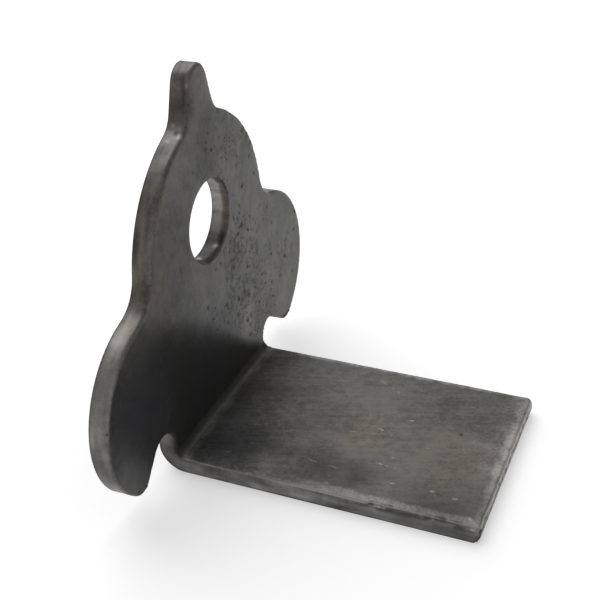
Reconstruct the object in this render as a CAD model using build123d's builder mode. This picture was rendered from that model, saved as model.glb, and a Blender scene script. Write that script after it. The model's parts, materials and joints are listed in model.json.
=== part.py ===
"""Weld tab: one steel plate, cut to outline and folded once into an upright eye plate and a flat shelf.

The origin is on the bench, under the middle of the tab. +X runs out along the shelf, +Y along the fold and +Z up
the eye plate. All sizes are in millimetres.
"""
import os
from dataclasses import dataclass
from math import cos, radians, sin, sqrt, tan

from build123d import *

# Plate and fold
plate_thickness = 4.55
inner_bend_radius = 1.8
rolled_edge_radius = 0.7  # the punched rim of the face that ends up inside the fold

# Shelf: the rectangular leg that lies flat and is welded down
shelf_reach = 77.5  # from the eye plate's back face to the shelf's end
shelf_width = 50.8
shelf_toe_round = 2.0  # along the end's lower edge

# Eye plate: the hole and the pointed-arch head around it
hole_diameter = 20.2
hole_height = 54.0  # above the underside of the shelf
head_radius = 31.7  # each flank of the head is one arc
head_half_width = 28.6
head_drop = 5.0  # from the hole's centre down to where the head is widest

# Nub: the tapered finger on top of the head
nub_height = 11.05  # above where the head's two flanks would meet
nub_crown_radius = 4.6
nub_taper = 17.0  # degrees that each flank leans in from upright
nub_root_fillet = 6.0

# Ears: the round lobes either side, which stop short of the bench
ear_radius = 22.4
ear_lift = 1.7  # from the bench up to the lowest point of the ear's full circle
ear_setout = 4.4  # from the shelf's side out to the ear's centre
ear_tip_round = 3.8
shoulder_fillet = 9.0  # where the head runs out into each ear


@dataclass(frozen=True)
class SideCuts:
    """The sizes that differ between the tab's two sides, which were punched one after the other."""

    side: int  # -1 towards -Y, +1 towards +Y
    notch_radius: float
    notch_undercut: float  # how far the notch bites in behind the line of the shelf's side
    notch_rise: float  # from the top of the fold up to the notch's centre
    underside_slope: float  # degrees that the ear's underside edge climbs towards the notch


near_side = SideCuts(side=-1, notch_radius=5.0, notch_undercut=0.0, notch_rise=1.85, underside_slope=50.0)
far_side = SideCuts(side=1, notch_radius=3.7, notch_undercut=0.6, notch_rise=1.1, underside_slope=33.0)

# Places that follow from the sizes above
outer_bend_radius = inner_bend_radius + plate_thickness
back_face = -shelf_reach / 2
shelf_end = back_face + shelf_reach
bend_centre = (back_face + outer_bend_radius, outer_bend_radius)
shelf_side = shelf_width / 2
head_arc_offset = head_half_width - head_radius
head_widest_height = hole_height - head_drop
head_peak = head_widest_height + sqrt(head_radius**2 - head_arc_offset**2)
nub_crown_height = head_peak + nub_height - nub_crown_radius
ear_offset = shelf_side + ear_setout
ear_height = ear_lift + ear_radius
overrun = 2 * ear_radius  # cutting shapes run this far past the plate


def nub_half_width(height: float) -> float:
    """Half the nub's width at a height, on its straight flanks, which touch the round crown."""
    drop = nub_crown_height - height
    return nub_crown_radius / cos(radians(nub_taper)) + drop * tan(radians(nub_taper))


def notch_centre(cuts: SideCuts) -> Vector:
    """The centre of a notch, set from the line of the shelf's side and the top of the fold."""
    offset = shelf_side - cuts.notch_undercut + cuts.notch_radius
    return Vector(cuts.side * offset, outer_bend_radius + cuts.notch_rise)


def notch_shape(cuts: SideCuts) -> Sketch:
    """The opening below one ear: the notch's round end, and a throat that opens along the ear's underside edge."""
    slope = radians(cuts.underside_slope)
    centre = notch_centre(cuts)
    touch = centre + cuts.notch_radius * Vector(cuts.side * sin(slope), cos(slope))
    run_out = touch + overrun * Vector(cuts.side * cos(slope), -sin(slope))
    inboard = cuts.side * shelf_side
    with BuildSketch() as notch:
        with Locations(centre):
            Circle(cuts.notch_radius)
        with BuildLine():
            Polyline((inboard, centre.Y), centre, touch, run_out, (inboard, run_out.Y), close=True)
        make_face()
    return notch.sketch


with BuildSketch() as head:
    with Locations((head_arc_offset, head_widest_height)):
        Circle(head_radius)
    with Locations((-head_arc_offset, head_widest_height)):
        Circle(head_radius, mode=Mode.INTERSECT)

with BuildSketch() as nub:
    with BuildLine():
        crown = CenterArc((0, nub_crown_height), nub_crown_radius, nub_taper, 180 - 2 * nub_taper)
        root_height = head_widest_height
        right_root = (nub_half_width(root_height), root_height)
        left_root = (-nub_half_width(root_height), root_height)
        Polyline(crown @ 1, left_root, right_root, crown @ 0)
    make_face()

with BuildSketch(Plane.YZ.offset(back_face)) as eye_plate:
    add(head.sketch)
    add(nub.sketch)
    ear_centres = ((ear_offset, ear_height), (-ear_offset, ear_height))
    with Locations(*ear_centres):
        Circle(ear_radius)
    Polygon((-ear_offset, 0), (ear_offset, 0), ear_centres[0], (0, hole_height), ear_centres[1], align=None)
    Rectangle(shelf_width, 2 * outer_bend_radius, mode=Mode.SUBTRACT)  # from here down the fold takes over
    for cuts in (near_side, far_side):
        add(notch_shape(cuts), mode=Mode.SUBTRACT)
        shoulder = eye_plate.vertices().sort_by_distance((cuts.side * head_half_width, ear_height + ear_radius))[0]
        fillet(shoulder, shoulder_fillet)
        tip = eye_plate.vertices().sort_by_distance((cuts.side * (ear_offset + ear_radius / 2), 0))[0]
        fillet(tip, ear_tip_round)
        nub_root = eye_plate.vertices().sort_by_distance((cuts.side * nub_half_width(head_peak), head_peak))[0]
        fillet(nub_root, nub_root_fillet)
    with Locations((0, hole_height)):
        Circle(hole_diameter / 2, mode=Mode.SUBTRACT)

with BuildPart() as weld_tab:
    extrude(eye_plate.sketch, amount=plate_thickness)
    with BuildSketch(Plane.XZ) as fold_section:
        with BuildLine():
            outside = CenterArc(bend_centre, outer_bend_radius, 180, 90)
            inside = CenterArc(bend_centre, inner_bend_radius, 180, 90)
            Line(outside @ 0, inside @ 0)
            Polyline(outside @ 1, (shelf_end, 0), (shelf_end, plate_thickness), inside @ 1)
        make_face()
    extrude(amount=shelf_side, both=True)
    with BuildSketch(Plane.YZ.offset(back_face)) as notch_ends:
        for cuts in (near_side, far_side):
            with Locations(notch_centre(cuts)):
                Circle(cuts.notch_radius)
    extrude(amount=outer_bend_radius, mode=Mode.SUBTRACT)
    eye_face = weld_tab.faces().filter_by(Axis.X).sort_by(Axis.X)[1]
    shelf_face = weld_tab.faces().filter_by(Axis.Z).sort_by(Axis.Z)[-1]
    fold_face = weld_tab.faces().filter_by(GeomType.CYLINDER).filter_by(lambda face: face.radius == inner_bend_radius)
    toe, lip = weld_tab.edges().filter_by(Axis.Y).group_by(Axis.X)[-1].sort_by(Axis.Z)
    rim = eye_face.outer_wire().edges() + fold_face.edges() + shelf_face.edges()
    fillet(rim.filter_by(Axis.Y, reverse=True) + lip, rolled_edge_radius)
    fillet(toe, shelf_toe_round)
weld_tab.part.label = "weld_tab"

os.makedirs("parts", exist_ok=True)
export_step(weld_tab.part, "parts/weld_tab.step")
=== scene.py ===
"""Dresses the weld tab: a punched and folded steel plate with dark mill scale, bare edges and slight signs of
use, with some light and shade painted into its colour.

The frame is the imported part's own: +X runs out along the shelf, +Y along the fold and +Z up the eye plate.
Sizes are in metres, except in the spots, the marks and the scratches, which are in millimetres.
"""

import json
import logging
from dataclasses import dataclass, field
from enum import Enum
from functools import cached_property

import bmesh
import bpy
import numpy as np
from mathutils import Matrix, Vector, noise
from mathutils.kdtree import KDTree

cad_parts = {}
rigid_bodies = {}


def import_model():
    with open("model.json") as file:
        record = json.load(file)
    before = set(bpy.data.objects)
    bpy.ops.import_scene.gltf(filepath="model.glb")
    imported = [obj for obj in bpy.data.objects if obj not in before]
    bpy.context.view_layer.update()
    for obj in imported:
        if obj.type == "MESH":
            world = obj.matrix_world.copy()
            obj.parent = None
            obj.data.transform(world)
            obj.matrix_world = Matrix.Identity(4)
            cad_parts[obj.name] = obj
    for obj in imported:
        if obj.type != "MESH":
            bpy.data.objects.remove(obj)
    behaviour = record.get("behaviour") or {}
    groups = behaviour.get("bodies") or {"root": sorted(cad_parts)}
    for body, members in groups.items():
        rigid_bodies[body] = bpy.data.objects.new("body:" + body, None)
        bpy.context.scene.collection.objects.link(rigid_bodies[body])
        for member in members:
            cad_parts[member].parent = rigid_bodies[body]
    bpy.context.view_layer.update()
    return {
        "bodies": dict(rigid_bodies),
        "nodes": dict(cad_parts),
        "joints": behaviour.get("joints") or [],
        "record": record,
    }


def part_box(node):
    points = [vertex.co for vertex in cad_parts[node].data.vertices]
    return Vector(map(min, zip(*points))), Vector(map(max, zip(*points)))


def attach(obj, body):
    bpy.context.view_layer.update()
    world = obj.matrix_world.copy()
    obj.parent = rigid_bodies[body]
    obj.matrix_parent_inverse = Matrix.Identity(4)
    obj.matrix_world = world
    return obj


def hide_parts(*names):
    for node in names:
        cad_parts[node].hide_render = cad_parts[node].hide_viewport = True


log = logging.getLogger("weld_tab")
Socket = bpy.types.NodeSocket
Number = Socket | float
MM = 0.001
NODE = "weld_tab"
SLOT = "mill_steel"


class Sum(Enum):
    """What is done with one or two numbers in a shader tree."""

    PLUS = "ADD"
    LESS = "SUBTRACT"
    TIMES = "MULTIPLY"
    MOST = "MAXIMUM"
    BELOW = "LESS_THAN"  # 1 where the first is below the second
    UNSIGNED = "ABSOLUTE"


class Blend(Enum):
    """How one colour is laid on another."""

    COVER = "MIX"
    TINT = "MULTIPLY"


class Side(Enum):
    """The shelf's two long sides, as the sign of Y."""

    NEAR = -1
    FAR = 1


class Mark(Enum):
    """The number attributes that the plate's mesh carries for its finish."""

    CUT = "cut"  # 1 on the punched walls, 0 on the rolled skins
    BARE_AND_HIGHLIGHTS = "bare"  # where the scale is rubbed away, and the painted highlights laid on as bare metal
    STAIN_AND_SHADE = "stain_and_shade"  # dirty pits, nicks and corners, and painted shade low on the eye plate, in the fold and at the hole's bottom
    PITTED = "pitted"  # how thick the fine pits lie
    TINT = "tint"  # -1 where the scale is bluish, 1 where it is brown
    TONE = "tone"  # how much paler a skin or wall is than the rest, from -1 to 2; partly painted light


def ease(low: float, high: float, value: np.ndarray) -> np.ndarray:
    """Rises smoothly from 0 at low to 1 at high."""
    share = np.clip((value - low) / (high - low), 0, 1)
    return share * share * (3 - 2 * share)


def ripple(points: np.ndarray, length: float, seed: int, octaves: int = 2) -> np.ndarray:
    """Gives each point smooth noise, from about -1 to 1.

    Args:
        points: one row of three coordinates for each point.
        length: how long the noise's largest waves are.
        seed: moves the pattern, so that two ripples differ.
        octaves: how many sizes of wave are added up.

    Returns:
        One value for each point.
    """
    shifted = (points / length + 7.31 * seed).tolist()
    waves = (noise.fractal(point, 1.0, 2.0, octaves, noise_basis="PERLIN_ORIGINAL") for point in shifted)
    return np.fromiter(waves, float, len(shifted))


@dataclass(frozen=True)
class Grain:
    """One layer of noise in a finish."""

    waves: float  # to the metre
    detail: float
    rough: float
    start: tuple[float, float, float] = (0, 0, 0)  # moves the pattern, so that two layers differ
    stretch: tuple[float, float, float] = (1, 1, 1)  # below 1 draws the pattern out along that axis


@dataclass(frozen=True)
class Dots:
    """One layer of soft round dots of uneven size in a finish."""

    waves: float  # how many there could be to the metre
    share: float  # the share of them that there are where they lie thickest
    radius: float  # the smallest one's radius, as a share of their spacing
    growth: float  # how much is added to it for the largest


class Nodes:
    """A short hand for wiring one shader tree; every sum and pattern gives the socket of its result."""

    def __init__(self, owner: bpy.types.Material | bpy.types.World) -> None:
        """Starts an empty tree.

        Args:
            owner: the material or world whose nodes are replaced.
        """
        owner.use_nodes = True
        self.tree = owner.node_tree
        self.tree.nodes.clear()

    def add(self, kind: str, inputs: dict | None = None, **settings: object) -> bpy.types.Node:
        """Adds a node, sets its options and fills or links its inputs.

        Args:
            kind: the node's type without the ShaderNode prefix.
            inputs: socket name or index to a value or an output socket.
            settings: the node's own properties.

        Returns:
            The new node.
        """
        node = self.tree.nodes.new("ShaderNode" + kind)
        for name, value in settings.items():
            setattr(node, name, value)
        for name, value in (inputs or {}).items():
            socket = node.inputs[name]
            if isinstance(value, Socket):
                self.tree.links.new(value, socket)
            else:
                socket.default_value = value
        return node

    def sum(self, what: Sum, first: Number, second: Number = 0.0, clamp: bool = False) -> Socket:
        """Does one sum on two numbers or sockets."""
        return self.add("Math", {0: first, 1: second}, operation=what.value, use_clamp=clamp).outputs[0]

    def plus(self, first: Number, second: Number, clamp: bool = False) -> Socket:
        """Adds two numbers or sockets."""
        return self.sum(Sum.PLUS, first, second, clamp)

    def less(self, first: Number, second: Number) -> Socket:
        """Takes the second number or socket from the first."""
        return self.sum(Sum.LESS, first, second)

    def times(self, first: Number, second: Number, clamp: bool = False) -> Socket:
        """Multiplies two numbers or sockets."""
        return self.sum(Sum.TIMES, first, second, clamp)

    def most(self, first: Number, second: Number) -> Socket:
        """Takes the larger of two numbers or sockets."""
        return self.sum(Sum.MOST, first, second)

    def band(self, value: Number, low: float, high: float, start: float = 0.0, stop: float = 1.0) -> Socket:
        """Turns the stretch low to high of a value smoothly into start to stop."""
        inputs = {0: value, 1: low, 2: high, 3: start, 4: stop}
        return self.add("MapRange", inputs, interpolation_type="SMOOTHSTEP").outputs[0]

    def blend(self, share: Number, first: object, second: object, how: Blend = Blend.COVER) -> Socket:
        """Lays one colour on another.

        Args:
            share: how much of the second colour is laid on.
            first: the lower colour or its socket.
            second: the upper colour or its socket.
            how: how it is laid on.

        Returns:
            The result's socket.
        """
        node = self.add("Mix", {0: share}, data_type="RGBA", blend_type=how.value)
        for place, colour in ((6, first), (7, second)):
            if isinstance(colour, Socket):
                self.tree.links.new(colour, node.inputs[place])
            else:
                node.inputs[place].default_value = (*colour, 1)
        return node.outputs[2]

    def shade(self, colour: Socket, factor: Number) -> Socket:
        """Multiplies a colour by a number."""
        grey = self.add("CombineXYZ", {0: factor, 1: factor, 2: factor}).outputs[0]
        return self.blend(1.0, colour, grey, Blend.TINT)

    def shifted(self, where: Socket, move: tuple, stretch: tuple) -> Socket:
        """Moves and stretches coordinates."""
        return self.add("Mapping", {"Vector": where, "Location": move, "Scale": stretch}).outputs[0]

    def turned(self, where: Socket, angle: float) -> Socket:
        """Turns coordinates about Z."""
        return self.add("Mapping", {"Vector": where, "Rotation": (0, 0, angle)}).outputs[0]

    def grain(self, where: Socket, layer: Grain) -> Socket:
        """Lays a layer of noise, from 0 to 1, over coordinates.

        Args:
            where: the coordinates.
            layer: the noise.

        Returns:
            The noise's socket.
        """
        inputs = {"Scale": layer.waves, "Detail": layer.detail, "Roughness": layer.rough}
        inputs["Vector"] = self.shifted(where, layer.start, layer.stretch)
        return self.add("TexNoise", inputs).outputs[0]

    def dots(self, where: Socket, layer: Dots, thick: Number = 1.0) -> tuple[Socket, Socket]:
        """Strews a layer of dots over coordinates.

        Args:
            where: the coordinates.
            layer: the dots.
            thick: how thick they lie, from 0 to 1.

        Returns:
            A socket with 1 in a dot and 0 beside it, and a socket with each dot's size from 0 to 1.
        """
        cells = self.add("TexVoronoi", {"Vector": where, "Scale": layer.waves, "Randomness": 1.0})
        chance, size, _ = self.add("SeparateXYZ", {0: cells.outputs["Color"]}).outputs
        chosen = self.sum(Sum.BELOW, chance, self.times(thick, layer.share))
        reach = self.less(cells.outputs["Distance"], self.times(size, layer.growth))
        return self.times(chosen, self.band(reach, layer.radius, 0.0)), size

    def attribute(self, mark: Mark) -> Socket:
        """Reads one of the mesh's own number attributes."""
        return self.add("Attribute", attribute_name=mark.value).outputs["Fac"]


class Surface(Nodes):
    """A finish's tree, which starts with the object's own coordinates, their Z and the finest noise."""

    def __init__(self, material: bpy.types.Material, speckle: Grain) -> None:
        """Starts the tree.

        Args:
            material: the material that it belongs to.
            speckle: the finest noise.
        """
        super().__init__(material)
        self.where = self.add("TexCoord").outputs["Object"]
        self.height = self.add("SeparateXYZ", {0: self.where}).outputs[2]
        self.speckle = self.grain(self.where, speckle)


@dataclass(frozen=True)
class Stock:
    """The plate's gauge and where its fold, faces and hole lie."""

    low: Vector  # the lowest corner of the plate's box
    high: Vector  # its highest corner
    thickness: float
    hole: Vector  # the middle of the hole
    hole_radius: float
    outer_bend: float = 6.35 * MM  # the radius on the outside of the fold
    shelf_side: float = 25.4 * MM  # from the middle out to either side of the shelf

    @classmethod
    def from_frame(cls, frame: dict) -> "Stock":
        """Reads the plate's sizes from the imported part.


        Returns:
            The stock that the tab is made from.
        """
        low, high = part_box(NODE)
        bore = next(mount for mount in frame["record"]["mounts"] if mount["name"] == "hole")
        sizes = bore["dims"]
        return cls(low, high, sizes["length_mm"] * MM, Vector(bore["pos_m"]), sizes["r_mm"] * MM)

    @property
    def inner_bend(self) -> float:
        """The radius on the inside of the fold."""
        return self.outer_bend - self.thickness

    @property
    def bend_x(self) -> float:
        """Where the fold's axis lies along X; its height is the outer radius."""
        return self.low.x + self.outer_bend

    @property
    def front(self) -> float:
        """The eye plate's front face along X."""
        return self.low.x + self.thickness


@dataclass
class Survey:
    """What is measured at every vertex of the plate, before any wear is cut into it."""

    points: np.ndarray
    normals: np.ndarray
    depth: np.ndarray  # from the outer skin
    across: np.ndarray  # unit direction through the sheet, towards the inside of the fold
    rim: np.ndarray  # distance to the nearest punched wall
    wall: np.ndarray  # the nearest point on a punched wall
    nearest: np.ndarray  # that point's vertex
    upright: np.ndarray  # true above the fold
    shelf: np.ndarray  # true beyond the fold

    @property
    def facing(self) -> np.ndarray:
        """1 where the surface faces through the sheet, as on the skins, and 0 on the punched walls."""
        return np.abs(np.sum(self.normals * self.across, axis=1))

    @classmethod
    def of(cls, mesh: bpy.types.Mesh, stock: Stock) -> "Survey":
        """Measures a mesh of the plate.

        Args:
            mesh: the plate's fine mesh.
            stock: the plate's sizes.

        Returns:
            One row of measures for each vertex.
        """
        points = np.empty(3 * len(mesh.vertices))
        normals = np.empty_like(points)
        mesh.vertices.foreach_get("co", points)
        mesh.vertices.foreach_get("normal", normals)
        points, normals = points.reshape(-1, 3), normals.reshape(-1, 3)
        x, z = points[:, 0], points[:, 2]
        upright = z > stock.outer_bend
        shelf = (x > stock.bend_x) & ~upright
        arm = np.stack((stock.bend_x - x, np.zeros(len(x)), stock.outer_bend - z), 1)
        reach = np.linalg.norm(arm, axis=1)
        depth = np.where(upright, x - stock.low.x, np.where(shelf, z, stock.outer_bend - reach))
        across = arm / np.maximum(reach, MM)[:, None]
        across[upright] = (1, 0, 0)
        across[shelf] = (0, 0, 1)
        margin = 0.5 * MM  # the walls are looked for this far inside both skins
        cut = np.flatnonzero((depth > margin) & (depth < stock.thickness - margin))
        tree = KDTree(len(cut))
        for index in cut:
            tree.insert(points[index], int(index))
        tree.balance()
        found = [tree.find(point) for point in points]
        rim = np.maximum(np.array([distance for _, _, distance in found]) - margin, 0)
        nearest = np.array([index for _, index, _ in found])
        return cls(points, normals, depth, across, rim, points[nearest], nearest, upright, shelf)


@dataclass(frozen=True)
class Spot:
    """A small round mark, in millimetres: where it is, how far it spreads and how strong it is."""

    place: tuple[float, float, float]
    spread: float
    strength: float = 1.0

    def near(self, points: np.ndarray) -> np.ndarray:
        """Gives each point the spot's strength there, fading to 0 at its rim."""
        away = np.linalg.norm(points / MM - np.array(self.place), axis=1)
        return self.strength * (1 - ease(0, self.spread, away))


def spots(*rows: tuple[float, ...]) -> list[Spot]:
    """Makes spots from rows of x, y, z, spread and strength."""
    return [Spot(row[:3], *row[3:]) for row in rows]


def gathered(marks: list[Spot], points: np.ndarray) -> np.ndarray:
    """Gives each point the strength of the strongest spot there.

    Args:
        marks: the spots.
        points: one row of coordinates for each point.

    Returns:
        One value for each point.
    """
    strength = np.zeros(len(points))
    for spot in marks:
        strength = np.maximum(strength, spot.near(points))
    return strength


@dataclass(frozen=True)
class WearAndLight:
    """Where handling and the press have marked the plate, and where light and shade are painted on it, in
    millimetres.

    A row for a spot gives its two coordinates on the face that it lies on, its spread and its strength.
    """

    front: float  # the eye plate's front face along X
    top: float  # the shelf's upper face
    side: float  # the shelf's near side, along -Y
    end: float  # the shelf's end
    seed: int = 5
    front_pits: tuple[tuple[float, float], ...] = (
        (0.5, 71.5), (5, 70.5), (8, 66.5), (15, 61.5), (24.5, 55.5), (22.5, 61), (14, 48), (16, 45),
        (11.5, 43), (13, 41), (3.5, 41), (11, 38.5), (9.5, 37), (12.5, 32), (14.5, 30), (21, 25), (31.5, 21),
        (37, 20), (5, 28.5), (11.5, 27.5), (-4.5, 33), (5, 23.5), (17, 13), (47.5, 29), (45, 25), (37, 26.5),
        (31, 43.5),
    )  # the large ones, across and up the eye plate
    front_scatter: tuple[tuple[tuple[float, float], float, int], ...] = (
        ((12, 42), 6, 40), ((16, 26), 9, 36), ((40, 27), 6, 16), ((8, 66), 9, 10),
    )  # the smaller ones: their middle, how far they scatter and how many they are
    pitted: tuple[tuple[float, float, float, float], ...] = (
        (13, 40, 13, 1), (15, 27, 16, 1), (21, 34, 16, 0.6), (40, 26, 17, 0.22), (10, 66, 15, 0.45),
        (25, 15, 14, 0.6), (0, 24, 14, 0.5),
    )  # where the finest ones lie thick on the eye plate
    shelf_specks: tuple[tuple[float, float], ...] = (
        (15.5, -19.5), (15.5, -17.5), (25.5, -17.5), (26.5, -18.5), (30.5, 18.5), (29, -5.5), (23, 13.5),
        (-2, -6), (-10, -12), (2, -20), (8, 3), (-16, 6), (20, -3),
    )  # small bright places along and across the shelf

    @classmethod
    def on(cls, stock: Stock) -> "WearAndLight":
        """Sets the marks out from the plate's own faces."""
        faces = (stock.front, stock.thickness, -stock.shelf_side, stock.high.x)
        return cls(*(face / MM for face in faces))

    def on_front(self, *rows: tuple[float, ...]) -> list[Spot]:
        """Sets spots out across and up the eye plate's front."""
        return [Spot((self.front, y, z), *size) for y, z, *size in rows]

    def on_shelf(self, *rows: tuple[float, ...]) -> list[Spot]:
        """Sets spots out along and across the shelf's upper face."""
        return [Spot((x, y, self.top), *size) for x, y, *size in rows]

    def on_side(self, *rows: tuple[float, ...]) -> list[Spot]:
        """Sets spots out along and up the shelf's near side."""
        return [Spot((x, self.side, z), *size) for x, z, *size in rows]

    def on_end(self, *rows: tuple[float, ...]) -> list[Spot]:
        """Sets spots out across and up the shelf's end."""
        return [Spot((self.end, y, z), *size) for y, z, *size in rows]

    def pits(self) -> list[Spot]:
        """Sets out the pits: the large ones listed and smaller ones scattered among them.

        Returns:
            The pits, with their depths as shares of the deepest.
        """
        dice = np.random.default_rng(self.seed)
        made = []
        for y, z in self.front_pits:
            made.append(Spot((self.front, y, z), dice.uniform(0.6, 0.95), dice.uniform(0.7, 1)))
        for middle, scatter, count in self.front_scatter:
            for y, z in dice.normal(middle, scatter, (count, 2)):
                made.append(Spot((self.front, y, z), dice.uniform(0.5, 0.75), dice.uniform(0.25, 0.8)))
        for x, y in dice.uniform((-28, -23), (36, 24), (40, 2)):
            made.append(Spot((x, y, self.top), dice.uniform(0.5, 0.8), dice.uniform(0.15, 0.5)))
        return made

    def nicks(self) -> list[Spot]:
        """Sets out the dents along the shelf's near rim and end, and at the root of the nub.

        Returns:
            The dents, with their depths as shares of the deepest.
        """
        rim = self.top - 0.3
        made = self.on_side((14, rim, 0.9, 0.5), (18.5, rim, 1.3, 0.7), (21.5, rim, 1, 0.4))
        made += self.on_side((27, rim, 0.9, 0.5), (30.3, rim, 1.5, 1), (33.5, rim, 1.1, 0.7))
        made += self.on_end((-21, rim, 1.1, 0.8), (-9, rim, 1.1, 0.5), (3.5, rim, 1.1, 0.6))
        made += self.on_end((14, rim, 1.1, 0.5), (-self.side, rim, 1.5, 0.8))
        return made + spots((-34.6, -7.4, 80, 1.2, 0.5), (-36, -9, 78, 1.3, 0.4), (-34.2, -4.6, 87.5, 1, 0.5))

    def glints(self) -> list[Spot]:
        """Sets out the glints: painted highlights, laid on as small places where the metal is rubbed bright.

        Returns:
            The bright places.
        """
        rim = self.top - 0.75
        made = self.on_side((15, rim, 0.9, 0.9), (15.9, rim, 0.9, 1), (16.8, rim, 0.9, 0.9))
        made += self.on_side((25.5, rim, 0.8, 0.5), (28, rim, 0.8, 0.7), (37, rim, 0.9, 1))
        made += spots((self.end - 0.4, self.side + 1, rim + 0.3, 0.9, 1))
        made += self.on_shelf(*((x, self.side + 0.7, 0.8, 0.5) for x in (-19, -14.5, -12, -8.5, -2, 3.5)))
        made += self.on_shelf(*((self.end - 1.6, y, 1.1, 0.6) for y in (6.6, 2.5, -1.5, -7, 15)))
        made += self.on_shelf((35.9, -23.3, 0.7, 0.9), *((x, y, 0.6, 0.45) for x, y in self.shelf_specks))
        made += spots((-37.6, -0.8, 43.9, 1.7, 1), (-35, -2.9, 44.4, 1.2, 0.8), (-35.7, 4.6, 45, 1.5, 0.7))
        made += spots((-36.2, 8.6, 59.2, 2.2, 0.6), (-37.2, 9.4, 49.9, 3, 0.65), (-37.2, 8.8, 48.5, 3, 0.5))
        made += spots((-37.3, -7.4, 79.8, 1.2, 0.6), (-34.9, -9.3, 78.2, 1.6, 0.7), (-36.5, -2, 91, 3.5, 0.3))
        return made + spots((-37.2, -10.7, 77.5, 1.5, 0.5))

    def pale(self) -> list[Spot]:
        """Sets out where the punched walls are paler: an ear, the hole, the nub, the shelf's side and end; on
        the hole's wall and the nub's top this is painted light.

        Returns:
            The paler places.
        """
        middle = self.front - 2.3
        # the last two spots, on the hole's wall, are painted light
        made = spots((middle, -47, 40, 20, 1.6), (middle, 9, 57, 9, 0.8), (middle, 9.5, 49, 6, 2))
        # this spot on the nub's top is painted light
        made += spots((middle, -3, 91, 5, 0.8))
        return made + self.on_side((3, 2.3, 22, 0.4)) + self.on_end((0, 2.3, 32, 0.3))

    def pale_skins_and_reflection(self) -> list[Spot]:
        """Sets out where the scale is paler: on the shelf, most of all by the fold, and low on the eye plate,
        where it is a painted reflection.

        Returns:
            The paler places.
        """
        made = self.on_shelf((-23, -4, 18, 1.1), (-29, -13, 13, 1.4), (-28, 14, 13, 1.2), (-26, -24, 13, 1.8))
        made += self.on_shelf((-14, -23, 11, 1.2), (-30, 23, 8, 1.2), (8, 3, 8, 0.45), (31, 3, 9, 0.4))
        # the two spots on the eye plate are a painted reflection
        return made + self.on_shelf((12, -22.5, 6, 0.3)) + self.on_front((16, 18, 8, 0.7), (27, 22, 10, 0.35))

    def grime_and_shade(self) -> list[Spot]:
        """Sets out the dark places at the shelf's corners, on the eye plate and on the walls; the one above
        the hole and the large one on the nub's near wall are painted shade.

        Returns:
            The dark places.
        """
        # the first spot, above the hole, is painted shade
        made = self.on_front((0, 68.5, 8, 0.25), (-20, 56, 26, 0.25), (2, 73, 14, 0.15))
        made += self.on_shelf((26, 5, 0.9, 0.8), (1, -18, 9, 0.36), (7, -18, 9, 0.36))
        made += self.on_side((29, 2, 17, 0.4), (8, 2, 16, 0.12), (self.end - 0.5, 1.4, 1.6, 0.6))
        made += self.on_end((-self.side, self.top, 1.7, 0.8), (self.side + 2.4, 3.4, 1, 0.7))
        made += spots((30.3, self.side + 0.5, 4.1, 1.7, 0.9), (-35, -25.4, 6, 9, 0.5))
        # the second spot, on the nub's near wall, is painted shade
        made += spots((-35.9, -8.4, 78.8, 1.2, 0.6), (-36.5, -6.5, 84, 6, 0.7))
        return made + spots((-36.5, -29, 57, 16, 0.3), (-36.5, -51.5, 20, 9, 0.4))

    def brown(self) -> list[Spot]:
        """Sets out the brown tints on the shelf's middle, below the hole and down the head's near wall.

        Returns:
            The brown places.
        """
        made = self.on_shelf((6, -3, 17, 0.7), (27, -3, 16, 0.8), (26, -13, 9, 0.8))
        made += self.on_front((11, 42, 8, 0.9), (4, 88, 12, 0.5))
        return made + spots((-36, -23, 68, 9, 0.9), (-36, -29, 52, 14, 0.8), (-36, -4, 88, 8, 0.6))

    def blue(self) -> list[Spot]:
        """Sets out where the scale is bluish: low on the eye plate and beside the fold."""
        return self.on_front((-38, 24, 20), (-8, 18, 24, 0.7)) + self.on_shelf((-27, -16, 14, 0.7))


@dataclass
class Zones:
    """The plate's skins, walls and rims, each as a share from 0 to 1 at every surveyed vertex."""

    stock: Stock
    survey: Survey
    break_share: float = 0.58  # the share of a wall, from the outer skin, that tore instead of shearing

    @cached_property
    def inner_side(self) -> np.ndarray:
        """1 on the skin inside the fold, fading to 0 a little way down the walls."""
        thickness = self.stock.thickness
        return ease(thickness - 1.3 * MM, thickness - 0.4 * MM, self.survey.depth)

    @cached_property
    def walls(self) -> np.ndarray:
        """1 on the punched walls, fading to 0 over their rims."""
        depth, thickness = self.survey.depth, self.stock.thickness
        return ease(0.02 * MM, 0.3 * MM, depth) * (1 - ease(thickness - 0.3 * MM, thickness, depth))

    @cached_property
    def hole(self) -> np.ndarray:
        """True where the nearest wall is the hole's."""
        wall, middle = self.survey.wall, self.stock.hole
        return np.hypot(wall[:, 1] - middle.y, wall[:, 2] - middle.z) < self.stock.hole_radius + 0.5 * MM

    @cached_property
    def end(self) -> np.ndarray:
        """True where the nearest wall is the shelf's end."""
        return self.survey.wall[:, 0] > self.stock.high.x - 0.25 * MM

    def side(self, side: Side) -> np.ndarray:
        """True where the nearest wall is that side of the shelf."""
        beside = side.value * self.survey.wall[:, 1] > self.stock.shelf_side - 0.4 * MM
        return self.survey.shelf & ~self.end & beside

    @cached_property
    def lip(self) -> np.ndarray:
        """True where the nearest wall is the shelf's near side or its end, whose rims are worn down."""
        return self.side(Side.NEAR) | self.end

    @cached_property
    def rolled(self) -> np.ndarray:
        """1 on the rolled rims beside the inner skin, except the hole's."""
        return (1 - ease(0.8, 0.98, self.survey.facing)) * self.inner_side * ~self.hole

    @cached_property
    def torn(self) -> np.ndarray:
        """1 on the torn part of a wall and 0 on its sheared part, with an uneven line between them.

        Returns:
            One value for each vertex.
        """
        line = self.break_share + 0.07 * self.hole + 0.12 * ripple(self.survey.points, 6 * MM, 11)
        above = ease(-0.08, 0.08, self.survey.depth / self.stock.thickness - line)
        return np.where(self.hole, above, 1 - above) * self.walls


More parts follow.
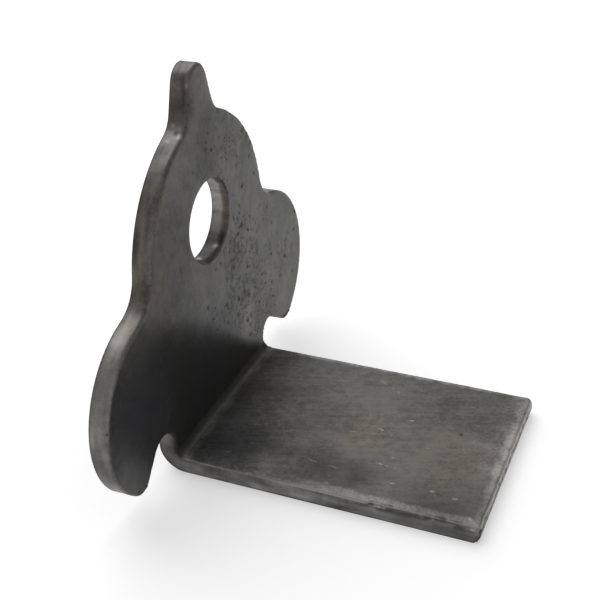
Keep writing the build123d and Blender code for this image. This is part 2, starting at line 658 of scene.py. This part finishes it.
@dataclass
class Relief:
    """The small shapes that punching, folding and use cut into the plate; a drop is a shape's full depth."""

    zones: Zones
    wear_and_light: WearAndLight
    roll_width: float = 1.6 * MM  # the skin draws down towards a punched wall over this width
    roll_drop: float = 0.07 * MM
    nub_root: float = 76 * MM  # the skin draws down more and more from this height
    nub_flank: float = 82 * MM  # up to this one
    nub_more: float = 4.0  # and by so many times more
    lip_width: float = 2.6 * MM  # the same along the shelf's near side and end, which are worn down further
    lip_drop: float = 0.26 * MM
    wave_drop: float = 0.03 * MM
    grain_drop: float = 0.008 * MM
    break_drop: float = 0.02 * MM
    tear_drop: float = 0.03 * MM
    end_drop: float = 0.13 * MM
    rag_drop: float = 0.3 * MM
    rag_start: float = 11 * MM  # how far along the shelf its near rim starts to be ragged
    rag_full: float = 15 * MM
    pit_drop: float = 0.16 * MM
    nick_drop: float = 0.5 * MM

    def drawn_down(self) -> np.ndarray:
        """Works out how far the skin is drawn down through the sheet beside a punched wall.

        Returns:
            One depth for each vertex.
        """
        zones, survey = self.zones, self.zones.survey
        nub = ease(self.nub_root, self.nub_flank, survey.points[:, 2])
        uneven = 1 + 0.2 * ripple(survey.points, 12 * MM, 3)
        width = np.where(zones.lip, self.lip_width, self.roll_width * (1 + nub)) * uneven
        drop = np.where(zones.lip, self.lip_drop, self.roll_drop * (1 + self.nub_more * nub))
        return drop * np.clip(1 - survey.rim / width, 0, 1) ** 2 * zones.inner_side

    def ragged(self) -> np.ndarray:
        """Works out how ragged the walls' upper rims are.

        Returns:
            One share for each vertex.
        """
        zones, survey = self.zones, self.zones.survey
        upper = ease(0.55, 0.8, survey.depth / zones.stock.thickness) * (survey.rim < 0.4 * MM)
        bites = np.clip(ripple(survey.points * (1, 0.4, 0.4), 2.4 * MM, 9), 0, 1)
        near = zones.side(Side.NEAR) * ease(self.rag_start, self.rag_full, survey.points[:, 0])
        return bites * upper * (near + 0.6 * zones.end + 0.3 * zones.side(Side.FAR))

    def sunk(self) -> np.ndarray:
        """Works out how far each vertex sinks along its own normal.

        Returns:
            One depth for each vertex.
        """
        zones, points = self.zones, self.zones.survey.points
        sink = self.wave_drop * ripple(points, 26 * MM, 1) + self.grain_drop * ripple(points, 2.6 * MM, 2)
        sink += zones.torn * (self.break_drop + self.tear_drop * ripple(points, 2.2 * MM, 6, 3))
        rough = 0.5 + 0.5 * ripple(points, 1.9 * MM, 7, 3)
        sink += zones.end * zones.walls * self.end_drop * rough
        sink += self.rag_drop * self.ragged()
        sink += self.pit_drop * gathered(self.wear_and_light.pits(), points)
        return sink + self.nick_drop * gathered(self.wear_and_light.nicks(), points)

    def moved(self) -> np.ndarray:
        """Cuts every kind of relief into the plate.

        Returns:
            The vertices' new places, none of them outside the plate's box.
        """
        survey, stock = self.zones.survey, self.zones.stock
        moved = survey.points - survey.normals * self.sunk()[:, None]
        moved -= survey.across * self.drawn_down()[:, None]
        return np.clip(moved, stock.low, stock.high)


@dataclass
class PatinaAndLight:
    """What rolling, punching and handling have left on the plate, and the light and shade painted on it, as
    the numbers that its finish reads.
    """

    zones: Zones
    wear_and_light: WearAndLight
    far_edge: float = 0.34  # how bare the shelf's far rim is
    other_edges: float = 0.22
    edge_reach: float = 1.2 * MM  # how fast that fades away from a wall
    haze_reach: float = 6.5 * MM  # the same for the thin rubbing at the shelf's end
    fold_highlight_bare: float = 0.5
    lip_bare: float = 0.34  # how bare the worn lip's flat part is
    lip_shine: float = 0.6  # and how much barer its rolled rim
    end_bare: float = 0.29  # how bare the shelf's end is
    shade_rise: float = 21.6 * MM  # how far up the painted shade reaches at the plate's middle
    shade_slope: float = 0.67  # how fast its upper line falls towards the far side
    shade_top: float = 42 * MM  # the highest that it reaches

    def rubbed(self) -> np.ndarray:
        """Gives 1 where a rolled rim is rubbed, which ends higher on the shelf's near rim towards its end."""
        high = 0.3 * self.zones.side(Side.NEAR) * ease(11 * MM, 16 * MM, self.zones.survey.points[:, 0])
        return ease(0.2, 0.42, self.zones.survey.facing - high)

    def worn_lip(self) -> np.ndarray:
        """Works out the rubbed strips along the shelf's sides and end, with a ragged inner line.

        Returns:
            1 on the strips and 0 beside them, for each vertex.
        """
        zones, points, rim = self.zones, self.zones.survey.points, self.zones.survey.rim
        ragged = 0.5 * ripple(points, 5 * MM, 8) + 0.35 * ripple(points, 1.7 * MM, 12)
        near = 1 - ease(1.7 * MM, 2.7 * MM, rim + MM * ragged)
        along = points[:, 0] + 3 * MM * ripple(points, 9 * MM, 14)
        faint = 0.35 * ease(-34 * MM, -20 * MM, along)
        near *= faint + 0.65 * ease(-12 * MM, 8 * MM, along)
        end = 1 - ease(1 * MM, 3.3 * MM, zones.stock.high.x - points[:, 0] + 1.6 * MM * ragged)
        end *= 1.1 - 0.5 * ease(2 * MM, 20 * MM, np.abs(points[:, 1] - 2 * MM))
        far = 1 - ease(0.5 * MM, 1.9 * MM, rim + 1.6 * MM * ragged)
        sides = np.select((zones.side(Side.NEAR), zones.side(Side.FAR)), (near, far), 0)
        return np.maximum(end, sides) * zones.inner_side * self.rubbed()

    def edges(self) -> np.ndarray:
        """Works out the thin bare line along every rim of the inner skin, and the haze over the shelf's end.

        Returns:
            How bare each vertex is.
        """
        zones, points = self.zones, self.zones.survey.points
        haze = 0.5 - 0.24 * ease(-4 * MM, -12 * MM, points[:, 1])  # thinner towards the near side
        haze *= np.exp((points[:, 0] - zones.stock.high.x) / self.haze_reach)
        line = np.where(zones.side(Side.FAR), self.far_edge, self.other_edges)
        line *= np.exp(-zones.survey.rim / self.edge_reach)
        bare = np.maximum(line, haze) * zones.inner_side * ~zones.hole
        return bare * np.where(zones.lip, self.rubbed(), 1) * (1 + 0.5 * ripple(points, 4 * MM, 16))

    def fold_highlight(self) -> np.ndarray:
        """Works out a painted highlight: the pale line where the inside of the fold runs out into the shelf.

        Returns:
            About 1 on the line and 0 beside it, for each vertex.
        """
        zones, points = self.zones, self.zones.survey.points
        beyond = points[:, 0] - zones.stock.bend_x
        line = ease(-1.3 * MM, 0.6 * MM, beyond) * (1 - ease(0.6 * MM, 2.9 * MM, beyond))
        return line * zones.inner_side * ~zones.survey.upright * (1 + 0.4 * ripple(points, 3 * MM, 20))

    def chips(self) -> np.ndarray:
        """Gives above 0 where the shelf's end is chipped bright, and below 0 where its chips are dark."""
        return ripple(self.zones.survey.points, 1.8 * MM, 18, 3) * self.zones.end

    def bare(self) -> np.ndarray:
        """Works out where the scale is rubbed or torn away, and where highlights are painted on as bare
        metal.

        Returns:
            How bare each vertex is, from 0 to 1.
        """
        zones, points = self.zones, self.zones.survey.points
        worn = self.worn_lip() * (1 + 0.3 * ripple(points, 3 * MM, 15))
        bare = self.edges() + worn * (self.lip_bare + self.lip_shine * zones.rolled)
        sheared = (1 - zones.torn) * zones.hole
        bare += (self.end_bare * zones.end + 0.35 * self.chips() + 0.3 * sheared) * zones.walls
        # the glints are painted highlights, laid on as bare metal
        bare = np.maximum(bare, gathered(self.wear_and_light.glints(), points))
        # the pale line along the fold is a painted highlight
        return np.clip(bare + self.fold_highlight_bare * self.fold_highlight(), 0, 1)

    def below_lip(self) -> np.ndarray:
        """Works out the dark ragged patches under the shelf's worn near rim.

        Returns:
            1 in a patch and 0 beside it, for each vertex.
        """
        survey = self.zones.survey
        patchy = ripple(survey.points * (1, 1, 0.5), 4.5 * MM, 17, 3)
        under = self.zones.stock.thickness - survey.depth
        strip = ease(0.5 * MM, 0.9 * MM, under) * (1 - ease(1.2 * MM, 2.6 * MM, under - 0.8 * MM * patchy))
        along = ease(12 * MM, 15 * MM, survey.points[:, 0]) * ease(-0.6, 0, patchy)
        return self.zones.side(Side.NEAR) * strip * along

    def foot_shade(self) -> np.ndarray:
        """Works out the painted shade low on the eye plate's front, whose upper line falls towards the far
        side.

        Returns:
            1 in the painted shade and 0 above it, for each vertex.
        """
        survey = self.zones.survey
        y, z = survey.points[:, 1], survey.points[:, 2]
        above = z - np.minimum(self.shade_top, self.shade_rise - self.shade_slope * y)
        blur = 6 * MM - 4 * MM * ease(-8 * MM, 12 * MM, y)  # sharper towards the far side
        ragged = above + 0.4 * blur * ripple(survey.points, 9 * MM, 19, 3)
        by_ear = 0.75 + 0.25 * ease(-30 * MM, -18 * MM, y)
        fade = by_ear * ease(-50 * MM, -28 * MM, y)
        return fade * (1 - ease(-1, 1.2, ragged / blur)) * survey.upright * self.zones.inner_side

    def in_hole(self) -> np.ndarray:
        """Works out how dark the hole's wall is made: darker on its torn part, and painted shade that grows
        towards the bottom.

        Returns:
            How dark each vertex is made.
        """
        zones, height = self.zones, self.zones.survey.points[:, 2] - self.zones.stock.hole.z
        return (0.5 * zones.torn + 0.65 * (1 - ease(-9 * MM, -3 * MM, height))) * zones.hole * zones.walls

    def stain_and_shade(self) -> np.ndarray:
        """Works out where the plate is darkened: dirty pits, nicks and corners, and painted shade low on the
        eye plate, in the fold and at the hole's bottom.

        Returns:
            How darkened each vertex is, from 0 to 1.
        """
        zones, survey = self.zones, self.zones.survey
        # painted shade inside the fold, lifted where its painted highlight runs
        fold_shade = ~survey.upright & ~survey.shelf & (survey.depth > zones.stock.thickness - 0.8 * MM)
        burr = (survey.rim < 0.3 * MM) * (1 - ease(0.1 * MM, 0.5 * MM, survey.depth))
        stain_and_shade = 0.9 * fold_shade * (1 - np.clip(1.5 * self.fold_highlight(), 0, 1)) + 0.6 * burr
        # the shade low on the eye plate and at the hole's bottom is painted
        stain_and_shade += self.foot_shade() + self.in_hole() + 0.75 * self.below_lip()
        stain_and_shade += 0.8 * gathered(self.wear_and_light.pits(), survey.points)
        stain_and_shade = np.maximum(stain_and_shade, gathered(self.wear_and_light.grime_and_shade(), survey.points))
        stain_and_shade += 0.9 * np.clip(-self.chips(), 0, 1) * zones.walls
        # the glints, which are painted highlights, lift the darkening under them
        return np.clip(stain_and_shade * (1 - 0.8 * gathered(self.wear_and_light.glints(), survey.points)), 0, 1)

    def streaks(self) -> np.ndarray:
        """Works out the walls' streaks: along the outline, and across the sheet where the punch dragged.

        Returns:
            How much paler each vertex is, from about -1 to 1.
        """
        zones, survey = self.zones, self.zones.survey
        x, y, z = survey.points.T
        along = ripple(np.stack((6 * survey.depth, x + y, z), 1), 10 * MM, 21, 3)
        flat = survey.points * np.where(survey.upright[:, None], (0.12, 1, 1), (1, 1, 0.12))
        across = ripple(flat, 1.5 * MM, 22, 3)
        speckle = ripple(survey.points, 1.4 * MM, 23, 3)
        rest = 1.2 * along + 0.7 * ripple(survey.points, 5 * MM, 24, 3) + 0.3 * across
        rest *= 1 + 0.5 * survey.shelf
        return np.select((zones.hole, zones.end), (2 * across, 1.5 * speckle), rest)

    def marks(self) -> dict[Mark, np.ndarray]:
        """Works out every number that the finish reads.

        Returns:
            One array for each mark, with one value for each vertex.
        """
        zones, wear_and_light, points = self.zones, self.wear_and_light, self.zones.survey.points
        cut = np.maximum(zones.walls, zones.rolled)
        clusters = wear_and_light.on_front(*wear_and_light.pitted)
        tint = gathered(wear_and_light.brown(), points) - gathered(wear_and_light.blue(), points) + zones.torn * zones.hole
        # the paler places hold painted light on the hole's wall and the nub's top, and a painted reflection
        # low on the eye plate
        tone = (self.streaks() + gathered(wear_and_light.pale(), points)) * zones.walls
        tone += gathered(wear_and_light.pale_skins_and_reflection(), points) * (1 - cut)
        return {
            Mark.CUT: cut,
            Mark.BARE_AND_HIGHLIGHTS: self.bare(),
            Mark.STAIN_AND_SHADE: self.stain_and_shade(),
            Mark.PITTED: gathered(clusters, points) * zones.inner_side * (1 - zones.walls),
            Mark.TINT: np.clip(tint, -1, 1),
            Mark.TONE: np.clip(tone, -1, 2),
        }


@dataclass(frozen=True)
class Scratch:
    """A straight scratch in the shelf's scale, in millimetres along and across the shelf."""

    start: tuple[float, float]
    stop: tuple[float, float]
    width: float

    def line(self, nodes: Surface, uneven: Socket) -> Socket:
        """Wires the scratch into a finish.

        Args:
            nodes: the finish's tree.
            uneven: noise that breaks the scratch's line.

        Returns:
            A socket with 1 in the scratch and 0 beside it.
        """
        start, stop = Vector(self.start) * MM, Vector(self.stop) * MM
        run = stop - start
        turn = -Vector((1, 0)).angle_signed(run)
        inputs = {"Vector": nodes.where, "Location": (*start, 0), "Rotation": (0, 0, turn)}
        local = nodes.add("Mapping", inputs, vector_type="TEXTURE").outputs[0]
        x, y = nodes.add("SeparateXYZ", {0: local}).outputs[:2]
        near = nodes.band(nodes.sum(Sum.UNSIGNED, y), self.width * MM, 0.3 * self.width * MM)
        from_middle = nodes.sum(Sum.UNSIGNED, nodes.less(x, run.length / 2))
        within = nodes.band(from_middle, run.length / 2, run.length * 0.4)
        return nodes.times(nodes.times(near, within), uneven)


@dataclass(frozen=True)
class MillSteel:
    """Hot-rolled steel: thin dark scale with rolled streaks, and grey metal where it is cut or rubbed."""

    dark: tuple[float, float, float] = (0.055, 0.054, 0.0515)  # the scale at its darkest
    light: tuple[float, float, float] = (0.115, 0.113, 0.106)  # and at its lightest
    warm: tuple[float, float, float] = (1.28, 1.19, 0.94)  # multiplies the scale where it is brown
    blue: tuple[float, float, float] = (0.066, 0.07, 0.092)
    cut: tuple[float, float, float] = (0.155, 0.149, 0.141)  # the punched walls
    brown: tuple[float, float, float] = (0.14, 0.124, 0.1)  # the same where they are tinted
    metal: tuple[float, float, float] = (0.42, 0.41, 0.385)  # rubbed bare, and the painted highlights
    # the colour of dirty pits and of the painted shade
    soot_and_shade: tuple[float, float, float] = (0.022, 0.021, 0.02)
    sheen: tuple[float, float, float] = (0.85, 0.85, 0.85)
    metallic: float = 0.9
    rolling: float = 0.3  # the rolling's angle to the shelf, in radians
    speckle: Grain = Grain(1300, 3, 0.65, (0.7, 0.2, 0.4))
    clouds: Grain = Grain(75, 3, 0.6)
    mottle: Grain = Grain(480, 3, 0.65, (0.5, 0.3, 0.8))
    streaks: Grain = Grain(520, 4, 0.65, (0.3, 0.1, 0.2), (0.1, 1, 0.4))
    fine_streaks: Grain = Grain(1000, 3, 0.6, (0.6, 0.4, 0.9), (0.12, 1, 0.4))
    patches: Grain = Grain(160, 3, 0.6, (0.2, 0.9, 0.5), (0.5, 1, 1))
    crowds: Grain = Grain(150, 2, 0.5, (0.9, 0.1, 0.6))
    blots: Grain = Grain(560, 3, 0.6, (0.1, 0.8, 0.3))
    breaks: Grain = Grain(550, 4, 0.65, (0.4, 0.6, 0.1))
    coarse_pits: Dots = Dots(480, 0.7, 0.24, 0.22)
    fine_pits: Dots = Dots(950, 0.95, 0.24, 0.22)
    pit_nudge: float = 1.3 * MM  # how far the pits are pushed out of round
    flecks: Dots = Dots(420, 0.2, 0.12, 0.1)
    scratch_bare: float = 0.6
    scratches: tuple[Scratch, ...] = (
        Scratch((-1.7, 21.3), (9.1, 14.7), 0.6),
        Scratch((6.2, 0.9), (12.4, -1.8), 0.5),
        Scratch((-8, -16), (4, -17), 0.22),
        Scratch((10, -12), (17, -12.5), 0.22),
    )

    def scale(self, nodes: Surface) -> Socket:
        """Colours the rolled skins: clouded dark scale, streaked by the rolling, with blue and brown tints.

        Args:
            nodes: the finish's tree.

        Returns:
            The colour's socket.
        """
        low = nodes.band(nodes.height, 9 * MM, 4.6 * MM)
        roll = nodes.turned(nodes.where, -self.rolling)
        streaks = nodes.plus(nodes.grain(roll, self.streaks), nodes.grain(roll, self.fine_streaks))
        streaks = nodes.less(streaks, 1)
        tone = nodes.times(nodes.grain(nodes.where, self.clouds), 0.5)
        tone = nodes.plus(tone, nodes.times(nodes.grain(nodes.where, self.mottle), 0.38))
        tone = nodes.plus(tone, nodes.times(nodes.speckle, 0.45))
        tone = nodes.plus(tone, nodes.times(streaks, nodes.band(low, 0, 1, 0.1, 0.23)))
        colour = nodes.blend(nodes.band(tone, 0.46, 0.84), self.dark, self.light)
        colour = nodes.shade(colour, nodes.plus(nodes.times(nodes.attribute(Mark.TONE), 0.7), 1))
        tint = nodes.attribute(Mark.TINT)
        patches = nodes.band(nodes.grain(roll, self.patches), 0.15, 0.75)
        warmth = nodes.times(patches, nodes.plus(tint, 0.06, True))
        colour = nodes.blend(warmth, colour, self.warm, Blend.TINT)
        return nodes.blend(nodes.times(nodes.times(tint, -1), 0.6, True), colour, self.blue)

    def walls(self, nodes: Surface, skin: Socket) -> Socket:
        """Colours the punched walls, with the punch's streaks and brown tints.

        Args:
            nodes: the finish's tree.
            skin: the colour beside the walls.

        Returns:
            The colour's socket.
        """
        tone = nodes.plus(nodes.attribute(Mark.TONE), nodes.times(nodes.less(nodes.speckle, 0.5), 1.8))
        brown = nodes.times(nodes.attribute(Mark.TINT), 0.9, True)
        wall = nodes.shade(nodes.blend(brown, self.cut, self.brown), nodes.plus(nodes.times(tone, 0.45), 1))
        return nodes.blend(nodes.attribute(Mark.CUT), skin, wall)

    def pits(self, nodes: Surface) -> Socket:
        """Strews fine pits where the mesh says that they lie thick.

        Args:
            nodes: the finish's tree.

        Returns:
            A socket with 1 in a pit and 0 beside it.
        """
        noise_inputs = {"Vector": nodes.where, "Scale": 1100.0, "Detail": 2.0}
        nudge = nodes.add("TexNoise", noise_inputs).outputs["Color"]
        nudge = nodes.add("VectorMath", {0: nudge, "Scale": self.pit_nudge}, operation="SCALE").outputs[0]
        uneven = nodes.add("VectorMath", {0: nodes.where, 1: nudge}, operation="ADD").outputs[0]
        crowd = nodes.band(nodes.grain(nodes.where, self.crowds), 0.4, 0.6, 0.25, 1.0)
        thick = nodes.times(nodes.attribute(Mark.PITTED), crowd)
        coarse, _ = nodes.dots(uneven, self.coarse_pits, thick)
        fine, _ = nodes.dots(uneven, self.fine_pits, thick)
        blots = nodes.band(nodes.grain(nodes.where, self.blots), 0.46, 0.62, 0, 0.5)
        return nodes.most(nodes.times(nodes.most(coarse, fine), 0.7), nodes.times(blots, thick))

    def rubbed(self, nodes: Surface) -> Socket:
        """Gathers the rims and painted highlights that the mesh marks as bare, the scratches and small
        flecks.

        Args:
            nodes: the finish's tree.

        Returns:
            A socket with how bare the steel is.
        """
        above, below = nodes.band(nodes.height, 4 * MM, 4.3 * MM), nodes.band(nodes.height, 5 * MM, 4.7 * MM)
        face = nodes.times(above, below)
        bare = nodes.attribute(Mark.BARE_AND_HIGHLIGHTS)
        breaks = nodes.band(nodes.grain(nodes.where, self.breaks), 0.42, 0.6)
        for scratch in self.scratches:
            line = nodes.times(scratch.line(nodes, breaks), face)
            bare = nodes.most(bare, nodes.times(line, self.scratch_bare))
        roll = nodes.shifted(nodes.turned(nodes.where, -self.rolling), (0.35, 0.55, 0.15), (0.5, 1, 1))
        flecks, size = nodes.dots(roll, self.flecks)
        flecks = nodes.times(flecks, nodes.plus(nodes.times(size, 0.8), 0.3))
        bare = nodes.most(bare, nodes.times(flecks, nodes.band(face, 0, 1, 0.25, 0.5)))
        bare = nodes.times(bare, nodes.band(nodes.speckle, 0.3, 0.7, 0.88, 1.12))
        return nodes.plus(bare, nodes.times(nodes.less(nodes.speckle, 0.5), 0.1))

    def material(self) -> bpy.types.Material:
        """Builds the material.

        Returns:
            The finished material, named after the part's slot.
        """
        material = bpy.data.materials.new(SLOT)
        nodes = Surface(material, self.speckle)
        pits = self.pits(nodes)
        # the darkening mark holds dirty pits, nicks and corners, and painted shade low on the eye plate, in
        # the fold and at the hole's bottom
        dirt_and_shade = nodes.most(nodes.attribute(Mark.STAIN_AND_SHADE), pits)
        clean_and_lit = nodes.less(1.0, nodes.times(dirt_and_shade, 0.7))
        bare = nodes.band(self.rubbed(nodes), 0.12, 1.0)
        colour = nodes.blend(bare, self.walls(nodes, self.scale(nodes)), self.metal)
        rough = nodes.plus(nodes.times(nodes.speckle, 0.2), 0.3)
        relief = nodes.less(nodes.speckle, nodes.times(pits, 1.5))
        bump = nodes.add("Bump", {"Height": relief, "Distance": 0.012 * MM, "Strength": 1.0})
        inputs = {
            "Base Color": nodes.blend(nodes.times(dirt_and_shade, 0.85), colour, self.soot_and_shade),
            "Metallic": nodes.times(clean_and_lit, self.metallic),
            "Roughness": nodes.plus(rough, nodes.times(dirt_and_shade, 0.2), True),
            "Specular IOR Level": nodes.times(clean_and_lit, 0.5),
            "Specular Tint": nodes.blend(dirt_and_shade, self.sheen, self.soot_and_shade),
            "Normal": bump.outputs[0],
        }
        steel = nodes.add("BsdfPrincipled", inputs)
        nodes.add("OutputMaterial", {"Surface": steel.outputs[0]})
        return material


@dataclass
class Plate:
    """The tab itself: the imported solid's form on an even fine mesh, with its relief and its finish."""

    stock: Stock
    finish: MillSteel = field(default_factory=MillSteel)
    remesh_depth: int = 8
    remesh_scale: float = 0.76
    softening: int = 8  # passes that even out the walls' rows
    weld: float = 0.001 * MM  # corners this close are one

    def build(self, solid: bpy.types.Object) -> bpy.types.Object:
        """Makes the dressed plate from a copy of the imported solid.

        Args:
            solid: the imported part's node, which is left as it is.

        Returns:
            The finished piece.
        """
        piece = self.merged_copy(solid)
        self.even_mesh(piece)
        self.fair(piece.data)
        zones = Zones(self.stock, Survey.of(piece.data, self.stock))
        wear_and_light = WearAndLight.on(self.stock)
        piece.data.vertices.foreach_set("co", Relief(zones, wear_and_light).moved().ravel())
        for mark, values in PatinaAndLight(zones, wear_and_light).marks().items():
            layer = piece.data.attributes.new(mark.value, "FLOAT", "POINT")
            layer.data.foreach_set("value", values.astype(np.float32))
        piece.data.shade_smooth()
        piece.data.materials.append(self.finish.material())
        piece.data.update()
        return piece

    def merged_copy(self, solid: bpy.types.Object) -> bpy.types.Object:
        """Copies the solid's loose triangles and joins them into one closed skin.

        Args:
            solid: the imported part's node.

        Returns:
            The copy, as a new piece.
        """
        mesh = solid.data.copy()
        mesh.name = "tab_plate"
        mesh.materials.clear()
        bm = bmesh.new()
        bm.from_mesh(mesh)
        bmesh.ops.remove_doubles(bm, verts=bm.verts, dist=self.weld)
        bm.to_mesh(mesh)
        bm.free()
        piece = bpy.data.objects.new("tab_plate", mesh)
        bpy.context.scene.collection.objects.link(piece)
        return piece

    def even_mesh(self, piece: bpy.types.Object) -> None:
        """Rebuilds the skin from even small quads that keep the solid's edges.

        Args:
            piece: the merged copy, which gets the new mesh.
        """
        modifier = piece.modifiers.new("even", "REMESH")
        modifier.mode = "SHARP"
        modifier.octree_depth = self.remesh_depth
        modifier.scale = self.remesh_scale
        fine = bpy.data.meshes.new_from_object(piece.evaluated_get(bpy.context.evaluated_depsgraph_get()))
        piece.modifiers.clear()
        piece.data = fine

    def fair(self, mesh: bpy.types.Mesh) -> None:
        """Smooths the walls along their rows, which keeps their section, and trues the fold and the hole.

        Args:
            mesh: the plate's fine mesh, which is changed in place.
        """
        survey = Survey.of(mesh, self.stock)
        ends = np.empty(2 * len(mesh.edges), np.int32)
        mesh.edges.foreach_get("vertices", ends)
        ends = ends.reshape(-1, 2)
        band = (survey.facing < 0.95) & (survey.rim < 0.3 * MM)
        level = np.abs(np.diff(survey.depth[ends], axis=1)[:, 0]) < 0.2 * MM
        rows = ends[band[ends].all(axis=1) & level]
        smooth = self.averaged(survey.points, rows)
        shift = smooth + self.averaged(survey.points - smooth, rows) - survey.points
        fade = 1 - ease(0, 2.5 * MM, survey.rim)
        shift[~band] = (fade[:, None] * shift[survey.nearest])[~band]
        bm = bmesh.new()
        bm.from_mesh(mesh)
        for vertex, place in zip(bm.verts, survey.points + shift):
            vertex.co = place
            self.true_hole(vertex)
            self.true_fold(vertex)
        bm.to_mesh(mesh)
        bm.free()
        mesh.update()

    def averaged(self, values: np.ndarray, rows: np.ndarray) -> np.ndarray:
        """Evens values out along the walls' rows.

        Args:
            values: one row of numbers for each vertex.
            rows: pairs of neighbouring vertices.

        Returns:
            The evened values; those of a vertex in no row stay as they are.
        """
        count = np.bincount(rows.ravel(), minlength=len(values))[:, None]
        for _ in range(self.softening):
            total = np.zeros_like(values)
            np.add.at(total, rows[:, 0], values[rows[:, 1]])
            np.add.at(total, rows[:, 1], values[rows[:, 0]])
            values = np.where(count > 1, (values + total / np.maximum(count, 1)) / 2, values)
        return values

    def true_hole(self, vertex: bmesh.types.BMVert) -> None:
        """Puts a vertex of the hole's wall on the hole's radius.

        Args:
            vertex: any vertex; one that isn't on the wall stays where it is.
        """
        hole, radius = self.stock.hole, self.stock.hole_radius
        arm = Vector((0, vertex.co.y - hole.y, vertex.co.z - hole.z))
        if 0.8 * radius < arm.length < radius + 0.12 * MM:
            vertex.co += arm.normalized() * (radius - arm.length)

    def true_fold(self, vertex: bmesh.types.BMVert) -> None:
        """Puts a vertex on either skin of the fold on that skin's radius.

        Args:
            vertex: any vertex; one that isn't on the fold stays where it is.
        """
        stock = self.stock
        arm = Vector((vertex.co.x - stock.bend_x, 0, vertex.co.z - stock.outer_bend))
        if arm.x < 0 and arm.z < 0:
            for radius in (stock.outer_bend, stock.inner_bend):
                if abs(arm.length - radius) < 0.2 * MM:
                    vertex.co += arm.normalized() * (radius - arm.length)


@dataclass(frozen=True)
class Studio:
    """The pale floor, the soft light and the camera."""

    eye: tuple[float, float, float] = (0.07853, -0.20760, 0.17017)
    right: tuple[float, float, float] = (0.92345, 0.38218, -0.03421)
    up: tuple[float, float, float] = (-0.16655, 0.47955, 0.86156)
    forward: tuple[float, float, float] = (-0.34568, 0.78992, -0.50649)
    lens: float = 68.050
    floor_size: float = 8.0
    floor_colour: float = 0.93
    glow: float = 0.36  # what the floor adds of its own to its white
    sky: float = 0.42
    lamp_place: tuple[float, float, float] = (-0.45, 0.4, 0.85)
    lamp_aim: tuple[float, float, float] = (0, 0, 0.03)
    lamp_size: float = 1.3
    lamp_watts: float = 6.8

    def camera(self) -> None:
        """Places the camera."""
        data = bpy.data.cameras.new("camera")
        data.lens = self.lens
        data.sensor_width = 36.0
        data.clip_start = 0.01
        camera = bpy.data.objects.new("camera", data)
        bpy.context.scene.collection.objects.link(camera)
        axes = Matrix((self.right, self.up, [-a for a in self.forward])).transposed()
        camera.matrix_world = Matrix.Translation(self.eye) @ axes.to_4x4()
        bpy.context.scene.camera = camera

    def softbox(self) -> None:
        """Hangs one large soft lamp overhead."""
        data = bpy.data.lights.new("overhead", "AREA")
        data.shape = "SQUARE"
        data.size = self.lamp_size
        data.energy = self.lamp_watts
        lamp = bpy.data.objects.new("overhead", data)
        bpy.context.scene.collection.objects.link(lamp)
        lamp.location = self.lamp_place
        lamp.rotation_mode = "QUATERNION"
        lamp.rotation_quaternion = (Vector(self.lamp_aim) - Vector(self.lamp_place)).to_track_quat("-Z", "Y")

    def seen(self, nodes: Nodes) -> Socket:
        """Tells the rays that see the floor from those that carry its light to other things.

        Args:
            nodes: the floor's tree.

        Returns:
            A socket with 1 for rays from the camera, from gloss and through glass, and 0 for the others.
        """
        path = nodes.add("LightPath")
        mirrored = nodes.most(path.outputs["Is Glossy Ray"], path.outputs["Is Transmission Ray"])
        return nodes.most(path.outputs["Is Camera Ray"], mirrored)

    def floor(self) -> None:
        """Lays the floor, whose white is its own and which keeps the tab's shadow."""
        bm = bmesh.new()
        bmesh.ops.create_grid(bm, x_segments=1, y_segments=1, size=self.floor_size / 2)
        mesh = bpy.data.meshes.new("floor")
        bm.to_mesh(mesh)
        bm.free()
        floor = bpy.data.objects.new("floor", mesh)
        bpy.context.scene.collection.objects.link(floor)
        material = bpy.data.materials.new("pale_floor")
        nodes = Nodes(material)
        paint = nodes.add("BsdfDiffuse", {"Color": (*[self.floor_colour] * 3, 1)})
        shine = nodes.times(self.seen(nodes), self.glow)
        light = nodes.add("Emission", {"Color": (1, 1, 1, 1), "Strength": shine})
        both = nodes.add("AddShader", {0: paint.outputs[0], 1: light.outputs[0]})
        nodes.add("OutputMaterial", {"Surface": both.outputs[0]})
        mesh.materials.append(material)

    def surroundings(self) -> None:
        """Fills the room with an even light."""
        world = bpy.data.worlds.new("surroundings")
        bpy.context.scene.world = world
        nodes = Nodes(world)
        sky = nodes.add("Background", {"Color": (1, 1, 1, 1), "Strength": self.sky})
        nodes.add("OutputWorld", {"Surface": sky.outputs[0]})

    def build(self) -> None:
        """Sets up the whole studio."""
        self.camera()
        self.floor()
        self.surroundings()
        self.softbox()
        bpy.context.scene.view_settings.view_transform = "Standard"


def main() -> None:
    """Builds the plate and the studio."""
    logging.basicConfig(level=logging.INFO, format="%(message)s")
    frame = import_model()
    stock = Stock.from_frame(frame)
    piece = Plate(stock).build(frame["nodes"][NODE])
    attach(piece, "root")
    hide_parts(NODE)
    log.info("%s: %d faces", piece.name, len(piece.data.polygons))
    Studio().build()


if __name__ == "__main__":
    main()
